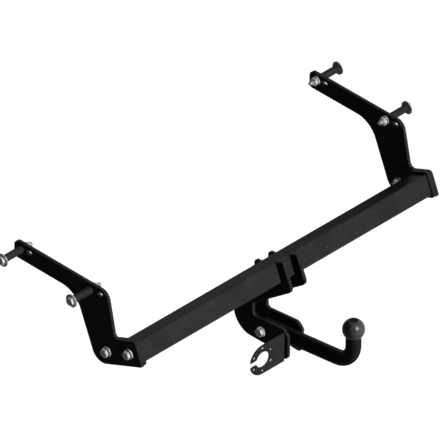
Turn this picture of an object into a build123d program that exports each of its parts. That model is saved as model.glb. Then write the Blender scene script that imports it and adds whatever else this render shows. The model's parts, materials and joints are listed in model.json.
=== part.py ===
from build123d import *
import os
from collections import namedtuple
from math import cos, radians, sin, tan

# A towbar for a car. A square crossbeam carries two side arms, which bolt to the chassis rails,
# and a bracket of two plates, which holds a swan-neck tow ball and a socket plate.
# Millimetres. +X is the car's right, +Y its front and +Z up. The origin lies on the car's
# centre plane, midway between the front and rear rail bolts.

# Crossbeam: a square tube, turned about its length so that its top leans to the front
beam_length = 872.0
beam_side = 50.0
beam_wall = 4.0
beam_corner = 5.5
beam_inner_corner = 1.5
beam_tilt = 22.5
beam_back = 221.8
beam_drop = 109.0

# End flange: the plate welded on each end of the crossbeam. The arm's foot has the same margins
# around the beam.
flange_thickness = 8.0
flange_margin = 5.5
flange_back_margin = 5.0
flange_front_margin = 14.0
flange_high_radius = 9.0
flange_low_radius = 8.0

# Side arm: an upper bar along the chassis rail, a leg, and a foot on the flange
arm_thickness = 8.0
arm_above_bolts = 16.3
arm_below_bolts = 27.6
arm_front_margin = 22.5
arm_front_high_radius = 14.0
arm_front_low_radius = 9.0
arm_heel_margin = 49.1
arm_heel_radius = 24.0
arm_knee_margin = 46.5
arm_knee_radius = 60.0
foot_front_margin = 47.5
foot_toe_radius = 31.5
foot_heel_radius = 4.0
foot_step_margin = 10.6
foot_step_radius = 12.0
foot_bolt_pitch = 72.0

# Rail bolts, and the slots behind them
rail_bolt_pitch = 210.0
rail_bolt_overrun = 10.0
front_slot_setback = 24.0
rear_slot_setback = 29.0
slot_length = 17.0
slot_width = 10.5
slot_rise = 1.5

# Spacer tube on each rail bolt, and the large washer that closes the rail over it
spacer_length = 55.5
spacer_outer = 17.0
large_washer_outer = 31.0
large_washer_thickness = 3.0

# Foot bolts and neck bolts: how far the thread stands out of the nut
foot_bolt_overrun = 3.5
neck_bolt_overrun = 10.0

# Neck bracket plates: a fork that takes the beam from below, and a tail that takes the neck
bracket_thickness = 8.0
neck_bolt_forward = 27.3
neck_bolt_drop = 170.8
neck_bolt_pitch = 55.5
notch_relief = 1.0
rear_claw_width = 24.0
rear_claw_flare = 2.4
rear_claw_depth = 44.8
rear_claw_tip_radius = 4.0
rear_claw_heel_radius = 15.0
front_claw_width = 18.0
front_claw_shortfall = 3.0
front_claw_height = 22.0
front_claw_tip_radius = 9.0
front_claw_root_radius = 20.0
notch_edge_radius = 1.5
toe_forward = 114.3
toe_drop = 28.8
toe_radius = 50.0
belly_back = 13.5
belly_drop = 26.7
belly_radius = 60.0
tail_depth = 36.6
tail_foot = 28.0
tail_foot_radius = 20.0
tail_rise = 40.5
tail_overhang = 9.6
tail_low_radius = 12.0
tail_high_radius = 21.0
throat_forward = 26.5
throat_low_rise = 28.6
throat_high_rise = 61.2
throat_radius = 9.0

# Tow ball and its neck, forged as one piece from round bar
ball_diameter = 50.0
ball_flat_diameter = 19.5
ball_reach = 448.5
ball_drop = 156.5
neck_diameter = 34.5
neck_top_diameter = 32.5
neck_shoulder_drop = 26.0
neck_shoulder_chamfer = 0.8
neck_rise_angle = 7.2
neck_upright = 15.8
tongue_width = 34.0
tongue_front_margin = 17.5
tongue_chamfer = 2.0
tongue_run_out = 4.0

# Plate for the trailer's electrical socket, welded on the left bracket plate
socket_plate_thickness = 2.5
socket_reach = 66.0
socket_drop = 4.6
socket_rim_radius = 37.7
socket_bore = 38.0
socket_mouth = 11.0
socket_horn_radius = 2.5
socket_hole_circle = 58.4
socket_hole_bore = 5.5
socket_hole_count = 6
socket_washer_gap = 1.0

# Metric fasteners
m10_thread = 10.0
m10_across_flats = 17.0
m10_head_height = 6.4
m10_nut_height = 8.0
m10_washer_outer = 20.0
m10_washer_thickness = 2.0
m10_spring_outer = 18.0
m10_spring_thickness = 2.2
m12_thread = 12.0
m12_across_flats = 18.0
m12_head_height = 7.5
m12_nut_height = 10.0
m12_washer_outer = 24.0
m12_washer_thickness = 2.5
m12_spring_outer = 21.0
m12_spring_thickness = 2.5
bolt_end_chamfer = 1.2
hex_chamfer_circle = 0.95
hex_chamfer_slope = 30.0
spring_gap = 2.0
spring_gap_slant = 25.0

# Clearances on the diameter
bolt_hole_clearance = 1.0
washer_clearance = 0.5
nut_clearance = 0.1

FastenerSize = namedtuple(
    "FastenerSize",
    "thread across_flats head nut washer_outer washer spring_outer spring",
)
M10 = FastenerSize(
    m10_thread, m10_across_flats, m10_head_height, m10_nut_height,
    m10_washer_outer, m10_washer_thickness, m10_spring_outer, m10_spring_thickness,
)
M12 = FastenerSize(
    m12_thread, m12_across_flats, m12_head_height, m12_nut_height,
    m12_washer_outer, m12_washer_thickness, m12_spring_outer, m12_spring_thickness,
)


def on_beam(forward, up):
    """Y and Z of a point given along the beam's own tilted directions, from its centre."""
    lean = radians(beam_tilt)
    y = -beam_back + forward * cos(lean) + up * sin(lean)
    z = -beam_drop - forward * sin(lean) + up * cos(lean)
    return y, z


def along_neck(back):
    """Y and Z of a point on the neck's straight axis, which passes through the front neck bolt."""
    centre_y, centre_z = on_beam(0, 0)
    y = centre_y + neck_bolt_forward - back
    z = centre_z - neck_bolt_drop + back * tan(radians(neck_rise_angle))
    return y, z


# Faces that the pieces seat on, as distances from the centre plane
half_beam = beam_side / 2
end_plate_high = half_beam + flange_margin
end_plate_low = -half_beam - flange_margin
end_plate_back = -half_beam - flange_back_margin
flange_inner = beam_length / 2
arm_inner = flange_inner + flange_thickness
arm_outer = arm_inner + arm_thickness
spacer_end = arm_outer + spacer_length
rail_head_seat = spacer_end + large_washer_thickness
bracket_inner = tongue_width / 2
bracket_outer = bracket_inner + bracket_thickness

# Bolt places in Y and Z
rail_bolts = [(rail_bolt_pitch / 2, 0.0), (-rail_bolt_pitch / 2, 0.0)]
foot_bolts = [on_beam(foot_bolt_pitch, 0), on_beam(0, 0)]
front_neck_bolt_y, neck_bolt_z = along_neck(0)
neck_bolts = [(front_neck_bolt_y, neck_bolt_z), (front_neck_bolt_y - neck_bolt_pitch, neck_bolt_z)]
slots = [
    (rail_bolt_pitch / 2 - front_slot_setback, slot_rise),
    (-rail_bolt_pitch / 2 - rear_slot_setback, slot_rise),
]

# The socket plate stands just behind the washer of the rear neck bolt
socket_front = neck_bolts[1][0] - m12_washer_outer / 2 - socket_washer_gap
socket_back = socket_front - socket_plate_thickness
socket_centre = (-bracket_outer - socket_reach, neck_bolts[1][1] - socket_drop)


def pointing_right(x, y, z):
    """A plane whose own Z runs along +X, with its X along +Y."""
    return Plane(origin=(x, y, z), x_dir=(0, 1, 0), z_dir=(1, 0, 0))


def pointing_left(x, y, z):
    """A plane whose own Z runs along -X, with its X along +Y."""
    return Plane(origin=(x, y, z), x_dir=(0, 1, 0), z_dir=(-1, 0, 0))


def rod(diameter, length):
    """A cylinder that stands on its plane."""
    return Cylinder(diameter / 2, length, align=(Align.CENTER, Align.CENTER, Align.MIN))


def ring(outer, bore, height):
    """A plain washer or tube that stands on its plane."""
    return rod(outer, height) - rod(bore, height)


def plate(corners, x, thickness):
    """A plate square to X, cut to rounded corners given as (y, z, radius)."""
    points = [(y, z) for y, z, radius in corners]
    radii = [radius for y, z, radius in corners]
    outline = FilletPolyline(*points, radius=radii, close=True)
    return extrude(pointing_right(x, 0, 0) * make_face(outline), thickness)


def through_x(shape, places, diameter, x_from, x_to):
    """The shape with round holes along X at the places."""
    for y, z in places:
        shape -= pointing_right(x_from, y, z) * rod(diameter, x_to - x_from)
    return shape


def hexagon(size, height):
    """A hexagonal block with a corner on its own X, and the corners of its far end chamfered."""
    block = extrude(RegularPolygon(size.across_flats / 2, 6, major_radius=False), height)
    top_radius = size.across_flats / 2 * hex_chamfer_circle
    bottom_radius = top_radius + height / tan(radians(hex_chamfer_slope))
    return block & Cone(bottom_radius, top_radius, height, align=(Align.CENTER, Align.CENTER, Align.MIN))


def bolt(size, length):
    """A hexagon bolt: the head lies below its plane, the shank stands on it."""
    shank = rod(size.thread, length)
    shank = chamfer(shank.edges().sort_by(Axis.Z)[-1], bolt_end_chamfer)
    head = Rot(180, 0, 0) * hexagon(size, size.head)
    return shank + head


def nut(size):
    """A hexagon nut, chamfered at both ends."""
    upper = hexagon(size, size.nut)
    lower = Pos(0, 0, size.nut) * Rot(180, 0, 0) * upper
    return (upper & lower) - rod(size.thread + nut_clearance, size.nut)


def flat_washer(size):
    return ring(size.washer_outer, size.thread + washer_clearance, size.washer)


def spring_washer(size):
    """A split ring, pressed flat, with a slanted gap."""
    whole = ring(size.spring_outer, size.thread + washer_clearance, size.spring)
    outer = size.spring_outer
    gap = Box(outer, spring_gap, outer, align=(Align.MIN, Align.CENTER, Align.CENTER))
    return whole - Pos(0, 0, size.spring / 2) * Rot(spring_gap_slant, 0, 0) * gap


def at_each(place_plane, x, places, piece):
    """Separate copies of one piece at the places."""
    return [place_plane(x, y, z) * piece for y, z in places]


def make_crossbeam():
    tilted = Plane(
        origin=(-beam_length / 2, *on_beam(0, 0)),
        x_dir=(0, cos(radians(beam_tilt)), -sin(radians(beam_tilt))),
        z_dir=(1, 0, 0),
    )
    inner_side = beam_side - 2 * beam_wall
    section = RectangleRounded(beam_side, beam_side, beam_corner)
    section -= RectangleRounded(inner_side, inner_side, beam_inner_corner)
    return extrude(tilted * section, beam_length)


def make_flange():
    """The right end flange, cut square to the beam's own directions."""
    front = foot_bolt_pitch + flange_front_margin
    corners = [
        (*on_beam(end_plate_back, end_plate_low), flange_low_radius),
        (*on_beam(front, end_plate_low), flange_low_radius),
        (*on_beam(front, end_plate_high), flange_low_radius),
        (*on_beam(end_plate_back, end_plate_high), flange_high_radius),
    ]
    blank = plate(corners, flange_inner, flange_thickness)
    return through_x(blank, foot_bolts, m12_thread + bolt_hole_clearance, flange_inner, arm_inner)


def make_side_arm():
    """The right side arm."""
    front = rail_bolt_pitch / 2 + arm_front_margin
    heel = -rail_bolt_pitch / 2 - arm_heel_margin
    knee = -rail_bolt_pitch / 2 + arm_knee_margin
    toe = foot_bolt_pitch + foot_front_margin
    corners = [
        (front, -arm_below_bolts, arm_front_low_radius),
        (front, arm_above_bolts, arm_front_high_radius),
        (heel, arm_above_bolts, arm_heel_radius),
        (*on_beam(half_beam + foot_step_margin, end_plate_high), foot_step_radius),
        (*on_beam(end_plate_back, end_plate_high), flange_high_radius),
        (*on_beam(end_plate_back, end_plate_low), foot_heel_radius),
        (*on_beam(toe, end_plate_low), foot_toe_radius),
        (knee, -arm_below_bolts, arm_knee_radius),
    ]
    arm = plate(corners, arm_inner, arm_thickness)
    arm = through_x(arm, rail_bolts, m10_thread + bolt_hole_clearance, arm_inner, arm_outer)
    arm = through_x(arm, foot_bolts, m12_thread + bolt_hole_clearance, arm_inner, arm_outer)
    slot = extrude(SlotOverall(slot_length, slot_width), arm_thickness)
    for y, z in slots:
        arm -= pointing_right(arm_inner, y, z) * slot
    return arm


def make_bracket_plate():
    """The right bracket plate, with the notch for the beam and the holes for the neck bolts."""
    bolt_y, bolt_z = neck_bolts[0]
    tail = socket_back - tail_overhang
    throat = bolt_y + throat_forward
    notch_radius = beam_corner - notch_relief
    front_claw_y, front_claw_z = on_beam(half_beam, half_beam - front_claw_shortfall)
    front_claw_front = front_claw_y + front_claw_width
    rear_claw_back = -half_beam - rear_claw_width
    corners = [
        (*on_beam(rear_claw_back, half_beam), rear_claw_tip_radius),
        (*on_beam(-half_beam, half_beam), notch_edge_radius),
        (*on_beam(-half_beam, -half_beam), notch_radius),
        (*on_beam(half_beam, -half_beam), notch_radius),
        (front_claw_y, front_claw_z, notch_edge_radius),
        (front_claw_front, front_claw_z, front_claw_tip_radius),
        (front_claw_front, front_claw_z - front_claw_height, front_claw_root_radius),
        (bolt_y + toe_forward, bolt_z - toe_drop, toe_radius),
        (bolt_y - belly_back, bolt_z - belly_drop, belly_radius),
        (tail + tail_foot, bolt_z - tail_depth, tail_foot_radius),
        (tail, bolt_z - tail_depth, tail_low_radius),
        (tail, bolt_z + tail_rise, tail_high_radius),
        (throat, bolt_z + throat_low_rise, throat_radius),
        (throat, bolt_z + throat_high_rise, throat_radius),
        (*on_beam(rear_claw_back - rear_claw_flare, -rear_claw_depth), rear_claw_heel_radius),
    ]
    blank = plate(corners, bracket_inner, bracket_thickness)
    bore = m12_thread + bolt_hole_clearance
    return through_x(blank, neck_bolts, bore, bracket_inner, bracket_outer)


def make_ball():
    """The ball about its own centre, with the small flat turned on its top."""
    flat_height = (ball_diameter ** 2 - ball_flat_diameter ** 2) ** 0.5 / 2
    above = Box(ball_diameter, ball_diameter, ball_diameter, align=(Align.CENTER, Align.CENTER, Align.MIN))
    return Sphere(ball_diameter / 2) - Pos(0, 0, flat_height) * above


def make_tow_ball_neck():
    """The ball on its neck. The bend takes up the height below the neck's upright stretch."""
    front_y, front_z = along_neck(-tongue_front_margin)
    run = ball_reach + front_y
    bend_z = front_z + run * tan(radians(neck_rise_angle))
    shoulder_z = -ball_drop - neck_shoulder_drop
    half_turn = radians(90 - neck_rise_angle) / 2
    bend_radius = (shoulder_z - neck_upright - bend_z) / tan(half_turn)
    axis = FilletPolyline(
        (0, front_y, front_z),
        (0, -ball_reach, bend_z),
        (0, -ball_reach, shoulder_z),
        radius=bend_radius,
    )
    start = Plane(origin=axis @ 0, z_dir=axis % 0)
    bar = sweep(start * Circle(neck_diameter / 2), path=axis)
    bar = chamfer(bar.edges().sort_by(Axis.Z)[-1], neck_shoulder_chamfer)
    bar = chamfer(bar.edges().sort_by(Axis.Y)[-1], tongue_chamfer)
    neck_top = Pos(0, -ball_reach, shoulder_z) * rod(neck_top_diameter, neck_shoulder_drop)
    ball = Pos(0, -ball_reach, -ball_drop) * make_ball()
    flats_back = socket_back - tail_overhang - tongue_run_out
    flats_length = front_y + neck_diameter - flats_back
    cheek = Box(neck_diameter, flats_length, flats_length, align=(Align.MIN, Align.MIN, Align.CENTER))
    cheek = Pos(bracket_inner, flats_back, front_z) * cheek
    neck = bar - cheek - mirror(cheek, about=Plane.YZ) + neck_top + ball
    return through_x(neck, neck_bolts, m12_thread + bolt_hole_clearance, -neck_diameter, neck_diameter)


def make_socket_plate():
    centre_x, centre_z = socket_centre
    outline = Pos(centre_x, centre_z) * Circle(socket_rim_radius)
    tongue = Rectangle(socket_reach, 2 * socket_rim_radius, align=(Align.MIN, Align.CENTER))
    outline += Pos(centre_x, centre_z) * tongue
    outline -= Pos(centre_x, centre_z) * Circle(socket_bore / 2)
    mouth = Rectangle(2 * socket_rim_radius, socket_mouth, align=(Align.MAX, Align.CENTER))
    outline -= Pos(centre_x, centre_z) * mouth
    horns = [corner for corner in outline.vertices() if corner.X < centre_x - socket_horn_radius]
    outline = fillet(horns, socket_horn_radius)
    screw_holes = PolarLocations(socket_hole_circle / 2, socket_hole_count, start_angle=90)
    outline -= [Pos(centre_x, centre_z) * place * Circle(socket_hole_bore / 2) for place in screw_holes]
    upright = Plane(origin=(0, socket_back, 0), x_dir=(1, 0, 0), z_dir=(0, -1, 0))
    return extrude(upright * outline, -socket_plate_thickness)


def rail_fasteners():
    """What one rail bolt of the right side holds, from its head inwards."""
    flat_seat = arm_inner
    spring_seat = flat_seat - m10_washer_thickness
    nut_seat = spring_seat - m10_spring_thickness
    length = rail_head_seat - nut_seat + m10_nut_height + rail_bolt_overrun
    large = ring(large_washer_outer, m10_thread + washer_clearance, large_washer_thickness)
    return {
        "rail_bolts": at_each(pointing_left, rail_head_seat, rail_bolts, bolt(M10, length)),
        "rail_large_washers": at_each(pointing_right, spacer_end, rail_bolts, large),
        "rail_flat_washers": at_each(pointing_left, flat_seat, rail_bolts, flat_washer(M10)),
        "rail_spring_washers": at_each(pointing_left, spring_seat, rail_bolts, spring_washer(M10)),
        "rail_nuts": at_each(pointing_left, nut_seat, rail_bolts, nut(M10)),
    }


def spacers():
    """The spacer tubes of the right side, each in a node of its own."""
    tube = ring(spacer_outer, m10_thread + bolt_hole_clearance, spacer_length)
    front, rear = at_each(pointing_right, arm_outer, rail_bolts, tube)
    return {"front_spacer": [front], "rear_spacer": [rear]}


def foot_fasteners():
    """The bolts that hold the right arm's foot on the flange.

    Each has a flat washer and a spring washer under its head. The front one has its own nut over
    two more washers. The rear one turns in a nut inside the beam.
    """
    front, rear = foot_bolts
    spring_seat = arm_outer + m12_washer_thickness
    head_seat = spring_seat + m12_spring_thickness
    nut_spring_seat = flange_inner - m12_washer_thickness
    nut_seat = nut_spring_seat - m12_spring_thickness
    past_nut_seat = m12_nut_height + foot_bolt_overrun
    flat = flat_washer(M12)
    spring = spring_washer(M12)
    return {
        "foot_bolts": [
            pointing_left(head_seat, *front) * bolt(M12, head_seat - nut_seat + past_nut_seat),
            pointing_left(head_seat, *rear) * bolt(M12, head_seat - flange_inner + past_nut_seat),
        ],
        "foot_flat_washers": [
            *at_each(pointing_right, arm_outer, foot_bolts, flat),
            pointing_left(flange_inner, *front) * flat,
        ],
        "foot_spring_washers": [
            *at_each(pointing_right, spring_seat, foot_bolts, spring),
            pointing_left(nut_spring_seat, *front) * spring,
        ],
        "foot_nut": [pointing_left(nut_seat, *front) * nut(M12)],
        "beam_captive_nut": [pointing_left(flange_inner, *rear) * nut(M12)],
    }


def neck_fasteners():
    """The two bolts through the bracket plates and the neck, with their heads on the left."""
    head_seat = -bracket_outer - m12_washer_thickness
    nut_seat = bracket_outer + m12_spring_thickness
    length = nut_seat - head_seat + m12_nut_height + neck_bolt_overrun
    return {
        "neck_bolts": at_each(pointing_right, head_seat, neck_bolts, bolt(M12, length)),
        "neck_flat_washers": at_each(pointing_left, -bracket_outer, neck_bolts, flat_washer(M12)),
        "neck_spring_washers": at_each(pointing_right, bracket_outer, neck_bolts, spring_washer(M12)),
        "neck_nuts": at_each(pointing_right, nut_seat, neck_bolts, nut(M12)),
    }


def both_sides(right_pieces):
    """The pieces of the right side and their mirror images, named for their side."""
    pieces = {}
    for name, solids in right_pieces.items():
        pieces["right_" + name] = solids
        pieces["left_" + name] = [mirror(solid, about=Plane.YZ) for solid in solids]
    return pieces


def all_pieces():
    pieces = {"crossbeam": [make_crossbeam()]}
    pieces.update(both_sides({
        "end_flange": [make_flange()],
        "side_arm": [make_side_arm()],
        "bracket_plate": [make_bracket_plate()],
    }))
    pieces["tow_ball_neck"] = [make_tow_ball_neck()]
    pieces["socket_plate"] = [make_socket_plate()]
    pieces.update(both_sides(rail_fasteners()))
    pieces.update(both_sides(spacers()))
    pieces.update(both_sides(foot_fasteners()))
    pieces.update(neck_fasteners())
    return pieces


os.makedirs("parts", exist_ok=True)
for node, solids in all_pieces().items():
    shape = solids[0] if len(solids) == 1 else Compound(children=solids)
    export_step(shape, f"parts/{node}.step")
    print(node, len(solids))
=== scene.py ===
# %% [markdown]
# # A towbar, dressed for its picture
#
# A towbar is a plain piece of workshop steel: flat plates cut by laser, a square tube, a forged
# neck with a ball, and a handful of bolts. The plates and the tube are sprayed with dry powder
# and baked black, and the fasteners are plated with zinc. This lesson loads the solids, gives
# each one the finish of the real piece, cuts real threads on the bolts, and lights the whole.

# %% Load the solids
import json
from math import cos, pi, radians, sin, sqrt, tan

import bmesh
import bpy
from mathutils import Matrix, Vector

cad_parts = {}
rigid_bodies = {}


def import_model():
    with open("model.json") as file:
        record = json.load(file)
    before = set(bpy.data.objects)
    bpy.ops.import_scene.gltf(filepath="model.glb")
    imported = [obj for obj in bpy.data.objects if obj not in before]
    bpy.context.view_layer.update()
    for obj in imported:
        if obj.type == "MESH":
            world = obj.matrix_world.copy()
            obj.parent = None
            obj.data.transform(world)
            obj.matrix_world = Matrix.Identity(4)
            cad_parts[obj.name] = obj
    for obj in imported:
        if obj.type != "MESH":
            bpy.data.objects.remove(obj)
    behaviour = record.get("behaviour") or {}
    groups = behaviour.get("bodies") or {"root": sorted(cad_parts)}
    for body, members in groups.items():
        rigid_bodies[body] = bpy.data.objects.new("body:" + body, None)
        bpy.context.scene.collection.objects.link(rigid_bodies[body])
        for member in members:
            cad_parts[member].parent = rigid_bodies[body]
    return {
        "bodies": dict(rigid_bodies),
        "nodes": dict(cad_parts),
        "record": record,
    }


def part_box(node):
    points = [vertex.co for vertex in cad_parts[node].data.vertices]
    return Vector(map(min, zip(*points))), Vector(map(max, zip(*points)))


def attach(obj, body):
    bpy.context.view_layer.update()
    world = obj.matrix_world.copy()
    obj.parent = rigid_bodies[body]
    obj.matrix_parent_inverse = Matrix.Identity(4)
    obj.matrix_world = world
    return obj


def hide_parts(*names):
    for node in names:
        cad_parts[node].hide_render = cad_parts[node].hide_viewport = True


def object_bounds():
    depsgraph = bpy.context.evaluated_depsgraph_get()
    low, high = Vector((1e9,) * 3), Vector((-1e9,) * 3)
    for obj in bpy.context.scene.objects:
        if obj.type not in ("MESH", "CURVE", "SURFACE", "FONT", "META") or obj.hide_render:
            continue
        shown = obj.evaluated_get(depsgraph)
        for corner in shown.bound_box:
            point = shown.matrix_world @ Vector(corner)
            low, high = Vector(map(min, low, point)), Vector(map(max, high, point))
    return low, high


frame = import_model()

nodes = frame["nodes"]
own = set(nodes.values()) | set(frame["bodies"].values())
for startup in [o for o in bpy.data.objects if o not in own and o.parent is None]:
    bpy.data.objects.remove(startup, do_unlink=True)
for plain in list(bpy.data.materials):
    bpy.data.materials.remove(plain)
bpy.context.view_layer.update()

bounds_at_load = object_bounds()
sides = bounds_at_load[1] - bounds_at_load[0]
print("solids", len(nodes), "sides in mm", [round(side * 1000) for side in sides])

# %% [markdown]
# ## Three small helpers
#
# Paint makers and screens give colours as sRGB hex values, while Blender's sockets want linear
# light, so one function turns the first into the second. Another adds a node to a tree with its
# settings, its values and its links in one call, which keeps each material readable. The third
# starts a material.
#
# A socket is called by its name, or by its number where a node has several of one name. In a map
# range, 0 is the value, 1 and 2 are the span it comes in, and 3 and 4 the span it goes out in. In
# a colour mix, 0 is the share, and 6 and 7 are the two colours.
#
# A noise of scale 1 / s has patches about s across, so each scale below is worked out from a
# size in millimetres. Noise stays mostly between 0.35 and 0.65, so that span is stretched to
# whatever range a finish needs.

# %% Colour and node helpers
MM = 0.001
NOISE_SPAN = {1: 0.35, 2: 0.65}


def linear(hex_code):
    """The linear colour of an sRGB hex value, with full alpha."""
    coded = [int(hex_code[i:i + 2], 16) / 255 for i in (1, 3, 5)]
    light = [c / 12.92 if c <= 0.04045 else ((c + 0.055) / 1.055) ** 2.4 for c in coded]
    return (*light, 1.0)


def put(tree, kind, inputs=(), **settings):
    """A new node with its settings; an input is a value, or an output to link from."""
    node = tree.nodes.new(kind)
    for name, value in settings.items():
        setattr(node, name, value)
    for socket, value in dict(inputs).items():
        if isinstance(value, bpy.types.NodeSocket):
            tree.links.new(value, node.inputs[socket])
        else:
            node.inputs[socket].default_value = value
    return node


def blank(name):
    """A new material, its emptied tree, and the output node put in it."""
    made = bpy.data.materials.new(name)
    made.use_nodes = True
    made.node_tree.nodes.clear()
    return made, made.node_tree, put(made.node_tree, "ShaderNodeOutputMaterial")


print("#2e2e30 in linear light is", [round(c, 3) for c in linear("#2e2e30")])

# %% [markdown]
# ## Powder-coated steel
#
# Powder is blown on dry, sticks by static charge and melts in an oven. It draws back a little
# from sharp edges and sets with a faint orange-peel ripple, so the black looks soft rather than
# glassy. Road dust settles on what faces up, and handling leaves a few pale scuffs. As a
# plastic, the coat has an IOR of 1.5. The usual specular level of 0.5 would lay the white room
# over the black like a veil, so the level is matched to the object and stays very low.

# %% Powder-coated steel: its patterns
powder, tree, output = blank("powder_coated_steel")
place = put(tree, "ShaderNodeTexCoord").outputs["Object"]
PEEL, CLOUD, SCUFF = 3.0 * MM, 60 * MM, 9 * MM
peel = put(tree, "ShaderNodeTexNoise", {0: place, "Scale": 1 / PEEL, "Detail": 2.0})
cloud = put(tree, "ShaderNodeTexNoise", {0: place, "Scale": 1 / CLOUD, "Detail": 4.0})
scuff = put(tree, "ShaderNodeTexNoise", {0: place, "Scale": 1 / SCUFF, "Detail": 8.0})
print(powder.name, "with a ripple of", round(PEEL / MM, 1), "mm")

# %% Powder-coated steel: dust on what faces up
DUST_HOLDS_FROM = 0.3
normal = put(tree, "ShaderNodeNewGeometry").outputs["Normal"]
upward = put(tree, "ShaderNodeSeparateXYZ", {0: normal}).outputs["Z"]
lying = put(tree, "ShaderNodeMapRange", {0: upward, 1: DUST_HOLDS_FROM, 2: 1.0, 3: 0.0, 4: 1.0})
settled = put(tree, "ShaderNodeMapRange", {0: cloud.outputs[0], **NOISE_SPAN, 3: 0.01, 4: 0.05})
dust = put(tree, "ShaderNodeMath", {
    0: lying.outputs[0], 1: settled.outputs[0],
}, operation="MULTIPLY")
print("dust lies where the normal's Z is over", DUST_HOLDS_FROM)

# %% Powder-coated steel: its colour
SCUFF_FROM, SCUFF_TO, SCUFF_SHARE = 0.66, 0.74, 0.22
shade = put(tree, "ShaderNodeMapRange", {0: cloud.outputs[0], **NOISE_SPAN, 3: 0.0, 4: 1.0})
black = put(tree, "ShaderNodeMix", {
    0: shade.outputs[0], 6: linear("#2e2e30"), 7: linear("#353537"),
}, data_type="RGBA")
dusty = put(tree, "ShaderNodeMix", {
    0: dust.outputs[0], 6: black.outputs[2], 7: linear("#6d6a66"),
}, data_type="RGBA")
rubbed = put(tree, "ShaderNodeMapRange", {
    0: scuff.outputs[0], 1: SCUFF_FROM, 2: SCUFF_TO, 3: 0.0, 4: SCUFF_SHARE,
})
worn = put(tree, "ShaderNodeMix", {
    0: rubbed.outputs[0], 6: dusty.outputs[2], 7: linear("#77777a"),
}, data_type="RGBA")
print("scuffs about", round(SCUFF / MM, 1), "mm across, covering at most", SCUFF_SHARE)

# %% Powder-coated steel: its coat
PLASTIC_IOR, COAT_LEVEL = 1.5, 0.006
roughness = put(tree, "ShaderNodeMapRange", {0: cloud.outputs[0], **NOISE_SPAN, 3: 0.50, 4: 0.62})
ripple = put(tree, "ShaderNodeBump", {
    "Height": peel.outputs[0], "Strength": 0.25, "Distance": 0.05 * MM,
})
coat = put(tree, "ShaderNodeBsdfPrincipled", {
    "Base Color": worn.outputs[2],
    "Roughness": roughness.outputs[0],
    "IOR": PLASTIC_IOR,
    "Specular IOR Level": COAT_LEVEL,
    "Normal": ripple.outputs[0],
})
tree.links.new(coat.outputs[0], output.inputs[0])
print("coat with an IOR of", PLASTIC_IOR, "and a specular level of", COAT_LEVEL)

# %% [markdown]
# ## Zinc-plated steel
#
# Bolts, nuts and washers are dipped in an electric bath that leaves a few thousandths of a
# millimetre of zinc. The crystals are too fine to see and scatter most of the light, so the
# plating looks like a pale, nearly matt grey with slightly duller patches. A mirror-like metal
# would show the white room on each side. The object shows black sides, so little of it is
# metallic, and the rest keeps the default IOR of 1.5.

# %% Zinc-plated steel
zinc, tree, output = blank("zinc_plated_steel")
place = put(tree, "ShaderNodeTexCoord").outputs["Object"]
PATCH, BLOOM = 5 * MM, 1.6 * MM
DEFAULT_IOR, ZINC_LEVEL = 1.5, 0.05
patch = put(tree, "ShaderNodeTexNoise", {0: place, "Scale": 1 / PATCH, "Detail": 5.0})
bloom = put(tree, "ShaderNodeTexNoise", {0: place, "Scale": 1 / BLOOM, "Detail": 3.0})
shade = put(tree, "ShaderNodeMapRange", {0: patch.outputs[0], **NOISE_SPAN, 3: 0.0, 4: 1.0})
silver = put(tree, "ShaderNodeMix", {
    0: shade.outputs[0], 6: linear("#d2d3d6"), 7: linear("#dedfe1"),
}, data_type="RGBA")
roughness = put(tree, "ShaderNodeMapRange", {0: bloom.outputs[0], **NOISE_SPAN, 3: 0.30, 4: 0.42})
pitted = put(tree, "ShaderNodeBump", {
    "Height": bloom.outputs[0], "Strength": 0.2, "Distance": 0.04 * MM,
})
bright = put(tree, "ShaderNodeBsdfPrincipled", {
    "Base Color": silver.outputs[2],
    "Metallic": 0.03,
    "Roughness": roughness.outputs[0],
    "IOR": DEFAULT_IOR,
    "Specular IOR Level": ZINC_LEVEL,
    "Normal": pitted.outputs[0],
})
tree.links.new(bright.outputs[0], output.inputs[0])
print(zinc.name, "with patches of", round(PATCH / MM, 1), "mm")

# %% [markdown]
# ## Dull zinc and oiled steel on the small parts
#
# The large washers are stamped from sheet, and their zinc has gone dull in the open. Nuts keep a
# little oil, which takes the shine off their zinc. The rolled threads are a little darker grey:
# partly oil, and partly painted shade in the grooves of the thread. Spring washers are hardened
# and oiled, so they are dark grey, and that grey also paints the shade in the gaps of the stack
# under each head. The spacers are cut from drawn tube, darker still, and the drawing die leaves
# fine lines along them, so the noise is stretched along X.

# %% Dull zinc and oiled steel
EVEN, LINES_ALONG_X = (1, 1, 1), (0.05, 1, 1)
WEATHERED, ROUGHNESS_SPREAD = 7 * MM, 0.15
DULL_LEVEL = 0.03


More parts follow.
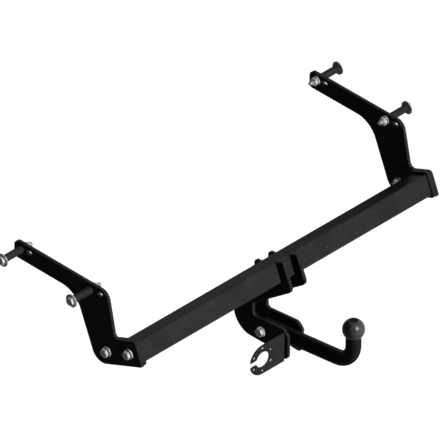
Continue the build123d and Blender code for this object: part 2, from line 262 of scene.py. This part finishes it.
def dull_zinc(name, dark, light, metallic, smoothest, grain, stretch=EVEN):
    """A dull grey between two shades, with grain of the given size, which may be drawn out."""
    made, tree, output = blank(name)
    place = put(tree, "ShaderNodeTexCoord").outputs["Object"]
    drawn_out = put(tree, "ShaderNodeMapping", {0: place, "Scale": stretch}).outputs[0]
    marks = put(tree, "ShaderNodeTexNoise", {0: drawn_out, "Scale": 1 / grain, "Detail": 3.0})
    patch = put(tree, "ShaderNodeTexNoise", {0: place, "Scale": 1 / WEATHERED, "Detail": 5.0})
    shade = put(tree, "ShaderNodeMapRange", {0: patch.outputs[0], **NOISE_SPAN, 3: 0.0, 4: 1.0})
    grey = put(tree, "ShaderNodeMix", {
        0: shade.outputs[0], 6: linear(dark), 7: linear(light),
    }, data_type="RGBA")
    roughness = put(tree, "ShaderNodeMapRange", {
        0: marks.outputs[0], **NOISE_SPAN, 3: smoothest, 4: smoothest + ROUGHNESS_SPREAD,
    })
    relief = put(tree, "ShaderNodeBump", {
        "Height": marks.outputs[0], "Strength": 0.3, "Distance": 0.05 * MM,
    })
    matt = put(tree, "ShaderNodeBsdfPrincipled", {
        "Base Color": grey.outputs[2],
        "Metallic": metallic,
        "Roughness": roughness.outputs[0],
        "IOR": DEFAULT_IOR,
        "Specular IOR Level": DULL_LEVEL,
        "Normal": relief.outputs[0],
    })
    tree.links.new(matt.outputs[0], output.inputs[0])
    return made


stamped = dull_zinc(
    "dull_zinc_steel", "#a2a3a5", "#b6b7b9", metallic=0.06, smoothest=0.45, grain=1.5 * MM,
)
# Painted shade: the dark grey stands for the spring washers' oiled steel and also paints the shade
# in the gaps of the stack under each head.
spring_steel_and_gap_shade = dull_zinc(
    "oiled_spring_steel_and_gap_shade", "#4a4a4b", "#59595a", metallic=0.1, smoothest=0.40, grain=1.5 * MM,
)
pressed = dull_zinc(
    "pressed_nut_zinc", "#c8c9cb", "#d8d9db", metallic=0.0, smoothest=0.35, grain=1.6 * MM,
)
# Painted shade: the thread is a little darker grey than the head, partly for oil and partly to
# paint the shade in its grooves.
thread_oil_and_groove_shade = dull_zinc(
    "rolled_thread_oil_and_groove_shade", "#c8c9cb", "#d6d7d9", metallic=0.02, smoothest=0.40, grain=1.0 * MM,
)
drawn = dull_zinc(
    "drawn_dull_zinc", "#1f1f1e", "#272726", metallic=0.08, smoothest=0.65, grain=1.2 * MM,
    stretch=LINES_ALONG_X,
)
print(stamped.name, spring_steel_and_gap_shade.name, pressed.name, thread_oil_and_groove_shade.name, drawn.name)

# %% [markdown]
# ## The forged neck and its ball
#
# The neck is bent from hot bar, so its skin is gently uneven under a smooth black coat. The ball
# is turned and polished, with a film of grease: a dark grey that shows one highlight. Neck and
# ball are one forging, so one material holds both finishes. It shows the polish only where a
# point is one ball radius from the ball's centre, and the flat on top keeps the black coat. The
# flat's width gives its height over the centre, and so the centre. The real tool marks on the
# ball are finer than a picture shows, so they are drawn coarser.

# %% Forged neck steel: where the ball is
forged, tree, output = blank("forged_neck_steel")
BALL_FLAT = 19.5 * MM
ON_BALL, OFF_BALL = 0.1 * MM, 0.3 * MM
low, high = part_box("tow_ball_neck")
ball_radius = (high.x - low.x) / 2
flat_height = sqrt(ball_radius ** 2 - (BALL_FLAT / 2) ** 2)
ball_centre = Vector((0, low.y + ball_radius, high.z - flat_height))
place = put(tree, "ShaderNodeTexCoord").outputs["Object"]
reach = put(tree, "ShaderNodeVectorMath", {0: place, 1: ball_centre}, operation="DISTANCE")
beyond = put(tree, "ShaderNodeMath", {
    0: reach.outputs["Value"], 1: ball_radius,
}, operation="SUBTRACT")
off = put(tree, "ShaderNodeMath", {0: beyond.outputs[0]}, operation="ABSOLUTE")
on_ball = put(tree, "ShaderNodeMapRange", {
    0: off.outputs[0], 1: ON_BALL, 2: OFF_BALL, 3: 1.0, 4: 0.0,
})
print(forged.name, "ball of", round(ball_radius * 2 / MM, 1), "mm")

# %% Forged neck steel: the coated neck
SCALE_PITS = 11 * MM
skin = put(tree, "ShaderNodeTexNoise", {0: place, "Scale": 1 / SCALE_PITS, "Detail": 4.0})
shade = put(tree, "ShaderNodeMapRange", {0: skin.outputs[0], **NOISE_SPAN, 3: 0.0, 4: 1.0})
smooth_black = put(tree, "ShaderNodeMix", {
    0: shade.outputs[0], 6: linear("#222224"), 7: linear("#2b2b2d"),
}, data_type="RGBA")
roughness = put(tree, "ShaderNodeMapRange", {0: skin.outputs[0], **NOISE_SPAN, 3: 0.50, 4: 0.60})
uneven = put(tree, "ShaderNodeBump", {
    "Height": skin.outputs[0], "Strength": 0.25, "Distance": 0.3 * MM,
})
neck_coat = put(tree, "ShaderNodeBsdfPrincipled", {
    "Base Color": smooth_black.outputs[2],
    "Roughness": roughness.outputs[0],
    "IOR": PLASTIC_IOR,
    "Specular IOR Level": COAT_LEVEL,
    "Normal": uneven.outputs[0],
})
print("neck coat over pits of", round(SCALE_PITS / MM, 1), "mm")

# %% Forged neck steel: the turned ball
TURNING, FILM = 0.9 * MM, 14 * MM
LINES_AROUND_Z = (0.2, 0.2, 1)
POLISH_LEVEL = 0.03
level = put(tree, "ShaderNodeMapping", {0: place, "Scale": LINES_AROUND_Z}).outputs[0]
turning = put(tree, "ShaderNodeTexNoise", {0: level, "Scale": 1 / TURNING, "Detail": 2.0})
film = put(tree, "ShaderNodeTexNoise", {0: place, "Scale": 1 / FILM, "Detail": 4.0})
shade = put(tree, "ShaderNodeMapRange", {0: film.outputs[0], **NOISE_SPAN, 3: 0.0, 4: 1.0})
burnished = put(tree, "ShaderNodeMix", {
    0: shade.outputs[0], 6: linear("#4a4b4e"), 7: linear("#58595c"),
}, data_type="RGBA")
roughness = put(tree, "ShaderNodeMapRange", {0: film.outputs[0], **NOISE_SPAN, 3: 0.18, 4: 0.22})
turned = put(tree, "ShaderNodeBump", {
    "Height": turning.outputs[0], "Strength": 0.12, "Distance": 0.03 * MM,
})
ball_polish = put(tree, "ShaderNodeBsdfPrincipled", {
    "Base Color": burnished.outputs[2],
    "Roughness": roughness.outputs[0],
    "IOR": DEFAULT_IOR,
    "Specular IOR Level": POLISH_LEVEL,
    "Normal": turned.outputs[0],
})
both = put(tree, "ShaderNodeMixShader", {
    0: on_ball.outputs[0], 1: neck_coat.outputs[0], 2: ball_polish.outputs[0],
})
tree.links.new(both.outputs[0], output.inputs[0])
print("ball turned, with lines", round(TURNING / MM, 1), "mm apart, drawn coarser than real ones")

# %% [markdown]
# ## Dressing the plates, the tube and the neck
#
# A laser leaves sharp edges that are rubbed down before coating. A welded copy of the mesh with
# its flat faces joined up takes a clean bevel, which catches the light as the real edge does.
# Modifiers do this, so the solid itself stays as it was. Each finish has its own width of
# edge, and the forged neck has none, because nearly all of it is round.

# %% Materials and worn edges on the solids
FINISHES = {m.name: m for m in (powder, zinc, stamped, forged)}
slot_of = {row["node"]: row["material_slot"] for row in frame["record"]["subparts"]}
EDGE = {"powder_coated_steel": 0.7 * MM, "zinc_plated_steel": 0.2 * MM, "dull_zinc_steel": 0.3 * MM}


def soften(piece, width):
    """Welds the mesh, joins its flat faces and rounds its sharp edges."""
    weld = piece.modifiers.new("weld", "WELD")
    weld.merge_threshold = 0.002 * MM
    flat = piece.modifiers.new("flat", "DECIMATE")
    flat.decimate_type = "DISSOLVE"
    flat.angle_limit = radians(0.5)
    edge = piece.modifiers.new("edge", "BEVEL")
    edge.width = width
    edge.segments = 2
    edge.limit_method = "ANGLE"
    edge.angle_limit = radians(32)
    edge.harden_normals = True


for name, node in nodes.items():
    finish = FINISHES[slot_of[name]]
    if name.endswith("_spacer"):
        finish = drawn
    if name.endswith("spring_washers"):
        finish = spring_steel_and_gap_shade
    if name.endswith(("_nut", "_nuts")):
        finish = pressed
    node.data.materials.clear()
    node.data.materials.append(finish)
    if slot_of[name] in EDGE:
        soften(node, EDGE[slot_of[name]])
print("dressed", len(nodes), "nodes")

# %% [markdown]
# ## Bolts with real threads
#
# The solids have plain rods for bolts. A real thread is rolled between dies that press a helix
# into the rod, so it is built as one here: a short profile of crest and root is carried round and
# round, and rises by the pitch each turn. A head is forged, and its far corners are cut by a cone
# of 30 degrees, which leaves the curved edges that tell a bolt from a plain hexagon. Under the
# head is a round washer face. All of it is one closed skin around the bolt's own axis.

# %% A skin built from rings around an axis
STEPS = 48
ANGLES = [2 * pi * step / STEPS for step in range(STEPS)]
SAME_PLACE = 0.001 * MM
SHARP_FROM = radians(28)


class Skin:
    """Points and faces of a closed mesh; points at one place are the same point."""

    def __init__(self):
        self.points, self.faces, self.known = [], [], {}
        self.thread_faces = range(0)

    def point(self, radius, angle, height):
        """The number of the point at a place around the axis."""
        place = (radius * cos(angle), radius * sin(angle), height)
        key = tuple(round(value / SAME_PLACE) for value in place)
        if key not in self.known:
            self.known[key] = len(self.points)
            self.points.append(place)
        return self.known[key]

    def face(self, *corners):
        """A face, unless too few of its corners differ."""
        around = [c for i, c in enumerate(corners) if c != corners[i - 1]]
        if len(set(around)) > 2:
            self.faces.append(around)

    def ring(self, radius, height):
        """A ring of points; radius and height are numbers, or functions of the angle."""
        radii = [radius(a) if callable(radius) else radius for a in ANGLES]
        heights = [height(a) if callable(height) else height for a in ANGLES]
        return [self.point(*corner) for corner in zip(radii, ANGLES, heights)]

    def join(self, first, second):
        """A band of faces from one ring to the next."""
        for i in range(STEPS):
            k = (i + 1) % STEPS
            self.face(first[i], first[k], second[k], second[i])

    def object(self, name, place):
        """The skin as an object, smooth but for sharp edges, its thread in the second material."""
        mesh = bpy.data.meshes.new(name)
        mesh.from_pydata(self.points, [], self.faces)
        mesh.transform(place)
        for i in self.thread_faces:
            mesh.polygons[i].material_index = 1
        shell = bmesh.new()
        shell.from_mesh(mesh)
        bmesh.ops.recalc_face_normals(shell, faces=shell.faces)
        shell.to_mesh(mesh)
        shell.free()
        mesh.polygons.foreach_set("use_smooth", [True] * len(mesh.polygons))
        mesh.set_sharp_from_angle(angle=SHARP_FROM)
        made = bpy.data.objects.new(name, mesh)
        bpy.context.scene.collection.objects.link(made)
        return made


print("steps around", STEPS)

# %% [markdown]
# ## The thread's profile
#
# A metric thread has flanks at 60 degrees, a crest an eighth of the pitch wide and a root twice
# as wide, so it is 0.54 of the pitch deep. At the rod's end a cone cuts the first turn away. The
# top of the head and the washer face are circles a little smaller than the head is across its
# flats. A bolt shorter than its usual thread keeps a short plain shank.

# %% Sizes of the threads and heads
CREST_TO_ROOT = [(0.0, 0.0), (1 / 8, 0.0), (7 / 16, 1.0), (11 / 16, 1.0), (1.0, 0.0)]
THREAD_DEPTH = 0.54
M10 = {
    "thread": 10.0 * MM, "pitch": 1.5 * MM, "flats": 17.0 * MM, "head": 6.4 * MM,
    "threaded": 26.0 * MM,
}
M12 = {
    "thread": 12.0 * MM, "pitch": 1.75 * MM, "flats": 18.0 * MM, "head": 7.5 * MM,
    "threaded": 30.0 * MM,
}
print("thread depth of M12", round(THREAD_DEPTH * M12["pitch"] / MM, 2), "mm")

# %% The thread
END_CHAMFER = 1.2 * MM


def cut_share(turn):
    """How deep the thread is cut at a share of a turn, from 0 at the crest to 1 at the root."""
    turn %= 1.0
    for (start, shallow), (end, deep) in zip(CREST_TO_ROOT, CREST_TO_ROOT[1:]):
        if turn <= end:
            return shallow + (deep - shallow) * (turn - start) / (end - start)


def add_thread(skin, size, start, end):
    """The helix from one height to another, closed by the rod's chamfered end."""
    crest, pitch = size["thread"] / 2, size["pitch"]

    def at(angle, height):
        height = min(max(height, start), end)
        turn = (height - start) / pitch - angle / (2 * pi)
        cut = THREAD_DEPTH * pitch * cut_share(turn)
        return skin.point(min(crest - cut, crest - END_CHAMFER + end - height), angle, height)

    first_face = len(skin.faces)
    turns = int((end - start) / pitch) + 3
    rises = [turn - 1 + rise for turn in range(turns) for rise, _ in CREST_TO_ROOT[:-1]]
    for i, angle in enumerate(ANGLES):
        after = 2 * pi * (i + 1) / STEPS
        after_angle = ANGLES[(i + 1) % STEPS]
        for low_rise, high_rise in zip(rises, rises[1:]):
            low, high = (
                start + (rise + angle / (2 * pi)) * pitch for rise in (low_rise, high_rise)
            )
            low_after, high_after = (
                start + (rise + after / (2 * pi)) * pitch for rise in (low_rise, high_rise)
            )
            skin.face(
                at(angle, low), at(after_angle, low_after),
                at(after_angle, high_after), at(angle, high),
            )
    skin.thread_faces = range(first_face, len(skin.faces))
    skin.join([at(angle, end) for angle in ANGLES], skin.ring(0.0, end))
    return [at(angle, start) for angle in ANGLES]


print("cut at a quarter of a turn", round(cut_share(0.25), 2), "of its depth")

# %% Head, washer face and shank
CHAMFER_SLOPE = tan(radians(30))
TOP_SHARE, WASHER_FACE_SHARE = 0.95, 0.93
WASHER_FACE = 0.5 * MM
SHORTEST_SHANK = 2 * MM


def add_bolt(size, length):
    """A bolt along +Z: the head lies below zero, and two of its corners point along X."""
    skin = Skin()
    apothem = size["flats"] / 2
    top, washer_face = TOP_SHARE * apothem, WASHER_FACE_SHARE * apothem
    shank_end = max(length - size["threaded"], SHORTEST_SHANK)

    def hexagon(angle):
        return apothem / cos(angle % (pi / 3) - pi / 6)

    def far_edge(angle):
        return -size["head"] + (hexagon(angle) - top) * CHAMFER_SLOPE

    rings = [
        skin.ring(0.0, -size["head"]),
        skin.ring(top, -size["head"]),
        skin.ring(hexagon, far_edge),
        skin.ring(hexagon, -WASHER_FACE),
        skin.ring(washer_face, -WASHER_FACE),
        skin.ring(washer_face, 0.0),
        skin.ring(size["thread"] / 2, 0.0),
        skin.ring(size["thread"] / 2, shank_end),
    ]
    rings.append(add_thread(skin, size, shank_end, length))
    for first, second in zip(rings, rings[1:]):
        skin.join(first, second)
    return skin


print("M12 head over its corners", round(M12["flats"] / cos(pi / 6) / MM, 1), "mm")

# %% [markdown]
# ## Bolts in their places
#
# Each bolt goes exactly where its plain solid is. A node holds a front and a rear bolt, so its
# points are parted at the middle, and each half's box gives the axis, the length and the seat.
# The list says which bolt each node holds, and on which side along X its heads are.

# %% Bolts in place of the plain ones


def halves(node):
    """The boxes of a node's front and rear solids."""
    points = [vertex.co for vertex in nodes[node].data.vertices]
    middle = (min(p.y for p in points) + max(p.y for p in points)) / 2
    for place, side in (("front", 1), ("rear", -1)):
        on_side = [p for p in points if (p.y - middle) * side > 0]
        low = Vector([min(values) for values in zip(*on_side)])
        high = Vector([max(values) for values in zip(*on_side)])
        yield place, low, high


BOLT_NODES = [
    ("right_rail_bolts", M10, 1), ("left_rail_bolts", M10, -1),
    ("right_foot_bolts", M12, 1), ("left_foot_bolts", M12, -1),
    ("neck_bolts", M12, -1),
]
for node, size, head_side in BOLT_NODES:
    for place, low, high in halves(node):
        middle = (low + high) / 2
        seat_x = (high.x if head_side > 0 else low.x) - head_side * size["head"]
        skin = add_bolt(size, high.x - low.x - size["head"])
        turned_in = Matrix(((0, 0, -head_side), (1, 0, 0), (0, -head_side, 0))).to_4x4()
        where = Matrix.Translation((seat_x, middle.y, middle.z)) @ turned_in
        threaded = skin.object(f"{place}_{node[:-1]}", where)
        threaded.data.materials.append(zinc)
        threaded.data.materials.append(thread_oil_and_groove_shade)
        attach(threaded, "root")
        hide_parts(node)
        print(threaded.name, len(threaded.data.polygons), "faces")

# %% [markdown]
# ## Plain pale floor, white around it
#
# The floor lies well below the towbar. Both the floor and the world look white to the camera
# and in reflections, and give off little light of their own otherwise, so that they don't
# brighten the black coat. The floor's glow is a little less than white, and its own lit colour
# makes up the rest, so it still takes the shadow.

# %% The floor
FLOOR_DROP, FLOOR_REACH = 450 * MM, 30.0
floor_z = bounds_at_load[0].z - FLOOR_DROP
floor_corners = [
    (x * FLOOR_REACH, y * FLOOR_REACH, floor_z) for x, y in ((-1, -1), (1, -1), (1, 1), (-1, 1))
]
floor_mesh = bpy.data.meshes.new("floor")
floor_mesh.from_pydata(floor_corners, [], [(0, 1, 2, 3)])
floor = bpy.data.objects.new("floor", floor_mesh)
bpy.context.scene.collection.objects.link(floor)
print("floor at", round(floor_z / MM), "mm")

# %% The floor's finish
FLOOR_GLOW = 0.95


def seen(tree):
    """1 for what the camera sees, directly, in a reflection or through glass."""
    path = put(tree, "ShaderNodeLightPath").outputs
    first = put(tree, "ShaderNodeMath", {
        0: path["Is Camera Ray"], 1: path["Is Glossy Ray"],
    }, operation="MAXIMUM")
    return put(tree, "ShaderNodeMath", {
        0: first.outputs[0], 1: path["Is Transmission Ray"],
    }, operation="MAXIMUM").outputs[0]


paper, tree, output = blank("pale_floor")
shown = seen(tree)
tint = put(tree, "ShaderNodeMix", {
    0: shown, 6: linear("#303030"), 7: linear("#8a8a8a"),
}, data_type="RGBA")
lit = put(tree, "ShaderNodeBsdfDiffuse", {"Color": tint.outputs[2]})
strength = put(tree, "ShaderNodeMath", {0: shown, 1: FLOOR_GLOW}, operation="MULTIPLY")
glow = put(tree, "ShaderNodeEmission", {"Strength": strength.outputs[0]})
total = put(tree, "ShaderNodeAddShader", {0: lit.outputs[0], 1: glow.outputs[0]})
tree.links.new(total.outputs[0], output.inputs[0])
floor_mesh.materials.append(paper)
print(paper.name, "glows at", FLOOR_GLOW, "of white where it is seen")

# %% The world
ROOM_LIGHT = 0.01
world = bpy.data.worlds.new("studio")
bpy.context.scene.world = world
world.use_nodes = True
tree = world.node_tree
tree.nodes.clear()
strength = put(tree, "ShaderNodeMath", {0: seen(tree), 1: ROOM_LIGHT}, operation="MAXIMUM")
background = put(tree, "ShaderNodeBackground", {
    "Color": (1, 1, 1, 1), "Strength": strength.outputs[0],
})
tree.links.new(background.outputs[0], put(tree, "ShaderNodeOutputWorld").inputs[0])
print(world.name, "is white where it is seen, and lights at", ROOM_LIGHT)

# %% [markdown]
# ## Lamps
#
# Three soft lamps light the towbar: the key from the rear right, a weaker one from straight
# behind, and one from the front right for the faces turned away. A fourth is seen in glossy
# surfaces only, as a strip light is in a showroom, and gives the ball its highlight. A sun lamp
# of strength pi lights a white surface that faces it to exactly white, so the strengths below
# are shares of that. The spread is the angle in degrees that a lamp fills in the sky, and a
# wider one gives softer shadows. The key casts no shadow, because a plate beside a bolt would
# hide the bolt from it, and the bolt's far sides are what tells it from the black behind. The
# other two cast the shadows on the parts and the floor.

# %% Lamps


def lamp(name, towards, share, spread, shadow=True, glint=False):
    """A sun lamp in a direction, as a share of full level; one for glints shows only in gloss."""
    light = bpy.data.lights.new(name, "SUN")
    light.energy = share * pi
    light.angle = radians(spread)
    light.use_shadow = shadow
    holder = bpy.data.objects.new(name, light)
    holder.rotation_mode = "QUATERNION"
    holder.rotation_quaternion = Vector(towards).to_track_quat("Z", "Y")
    holder.visible_glossy = glint
    holder.visible_diffuse = not glint
    bpy.context.scene.collection.objects.link(holder)


lamp("key_lamp", (0.43, -0.84, 0.33), share=0.92, spread=8, shadow=False)
lamp("rear_lamp", (-0.02, -0.97, 0.22), share=0.12, spread=12)
lamp("front_lamp", (0.73, 0.65, 0.20), share=0.90, spread=14)
lamp("glint_lamp", (-0.025, -0.831, 0.544), share=10.0, spread=26, glint=True)

# %% [markdown]
# ## The camera
#
# Product pictures of this kind are drawn almost without perspective, from above one rear corner.
# A very long lens far away gives nearly the same view. Its angles in degrees, its distance and
# the point it aims at, in metres, were fitted until the towbar filled the same frame.

# %% Camera
LENS_MM, SENSOR_MM = 1600.0, 36.0
AZIMUTH, ELEVATION, ROLL = -45.0744, 35.4218, 0.2069
DISTANCE, FARTHEST = 42.0431, 100.0
AIM = Vector((-0.00148, -0.04496, -0.07304))

camera_data = bpy.data.cameras.new("camera")
camera_data.lens = LENS_MM
camera_data.sensor_width = SENSOR_MM
camera_data.clip_end = FARTHEST
camera = bpy.data.objects.new("camera", camera_data)
back = Vector((
    sin(radians(AZIMUTH)) * cos(radians(ELEVATION)),
    -cos(radians(AZIMUTH)) * cos(radians(ELEVATION)),
    sin(radians(ELEVATION)),
))
camera.rotation_mode = "QUATERNION"
roll = Matrix.Rotation(radians(ROLL), 3, "Z").to_quaternion()
camera.rotation_quaternion = (-back).to_track_quat("-Z", "Y") @ roll
camera.location = AIM + back * DISTANCE
bpy.context.scene.collection.objects.link(camera)
bpy.context.scene.camera = camera
bpy.context.scene.view_settings.view_transform = "Standard"
print("camera", [round(v, 2) for v in camera.location])

# %% [markdown]
# ## Measure and finish
# The box of the solids as they were loaded is kept, and the scene is brought up to date.
# The dressed towbar may not outgrow its solids, so the boxes before and after are both kept.

# %% Finish
bpy.context.view_layer.update()
